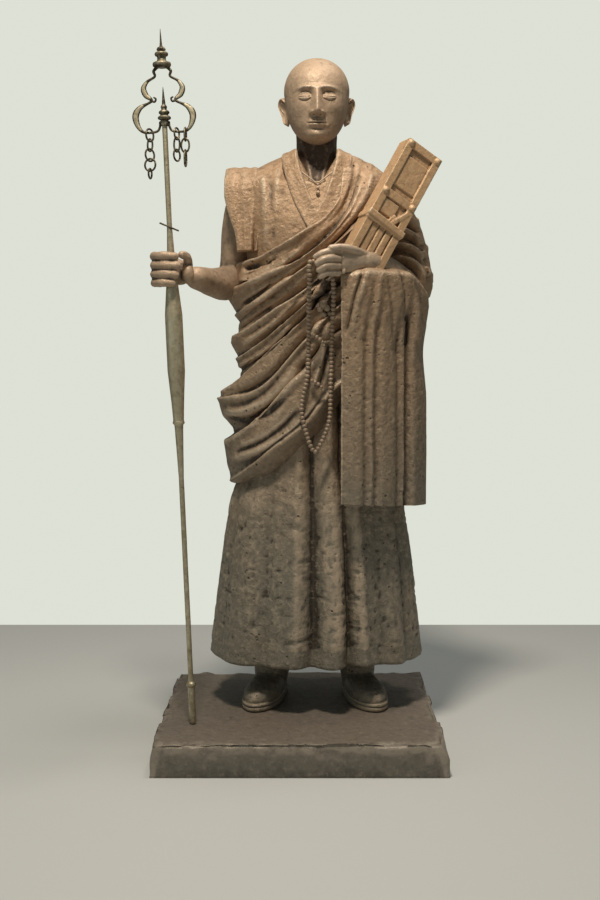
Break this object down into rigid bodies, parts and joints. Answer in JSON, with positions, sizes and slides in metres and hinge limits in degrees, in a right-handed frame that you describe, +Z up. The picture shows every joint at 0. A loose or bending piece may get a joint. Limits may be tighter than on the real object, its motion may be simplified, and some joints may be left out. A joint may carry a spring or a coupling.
{
  "type": "bronze monk statue",
  "caption": "Life-size bronze of a standing robed monk on a rough slab, holding a ringed staff, a string of beads and a bound scripture box.",
  "frame": {"origin": "middle of the slab's flat underside, which is what the statue stands on", "axes": "+Z up, the monk faces -Y, +X to the monk's left"},
  "size_m": [0.7853, 0.6608, 1.837],
  "materials": {
    "figure_bronze": "matte warm brown patina, dabbed and pitted",
    "bead_bronze": "matte brown patina, rubbed on the high spots",
    "staff_brass": "pale rubbed brass with dark recesses",
    "slab_bronze": "dull grey-brown, rough broken edges"
  },
  "bodies": {
    "root": {"base_slab": "slab_bronze", "monk_figure": "figure_bronze", "rosary": "bead_bronze", "staff_shaft": "staff_brass", "staff_loops": "staff_brass", "chain_left_1": "staff_brass", "chain_left_2": "staff_brass", "chain_left_3": "staff_brass", "chain_left_4": "staff_brass", "chain_left_5": "staff_brass", "chain_inner_1": "staff_brass", "chain_inner_2": "staff_brass", "chain_inner_3": "staff_brass", "chain_outer_1": "staff_brass", "chain_outer_2": "staff_brass", "chain_outer_3": "staff_brass"}
  },
  "joints": []
}
